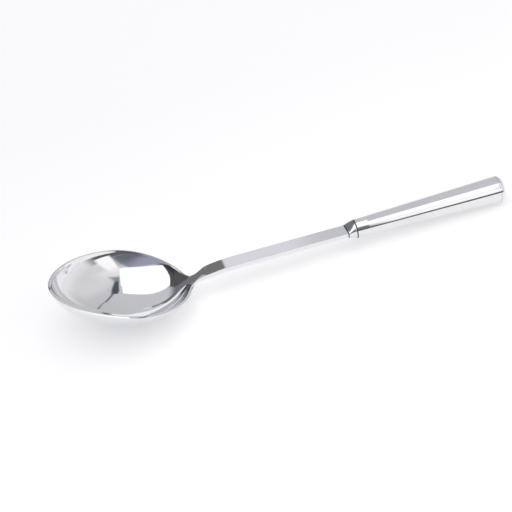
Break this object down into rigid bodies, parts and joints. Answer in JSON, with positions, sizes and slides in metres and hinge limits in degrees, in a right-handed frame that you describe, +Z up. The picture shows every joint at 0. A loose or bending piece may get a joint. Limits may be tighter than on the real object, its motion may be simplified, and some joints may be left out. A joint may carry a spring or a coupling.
{
  "type": "serving spoon",
  "caption": "Solid serving spoon with an egg-shaped bowl, a flat straight stem, a pressed collar and a tapered round hollow handle closed by a domed cap.",
  "frame": {"origin": "centre of the footprint of the spoon's bounding box, on the table that it lies on", "axes": "+X along the length towards the handle end, +Y across the bowl, +Z up from the table"},
  "size_m": [0.299, 0.0738, 0.0405],
  "materials": {
    "polished_blank": "mirror-polished stainless steel",
    "polished_handle": "mirror-polished stainless steel"
  },
  "bodies": {
    "root": {"spoon_blank": "polished_blank", "ferrule": "polished_handle", "handle_tube": "polished_handle", "end_cap": "polished_handle"}
  },
  "joints": []
}
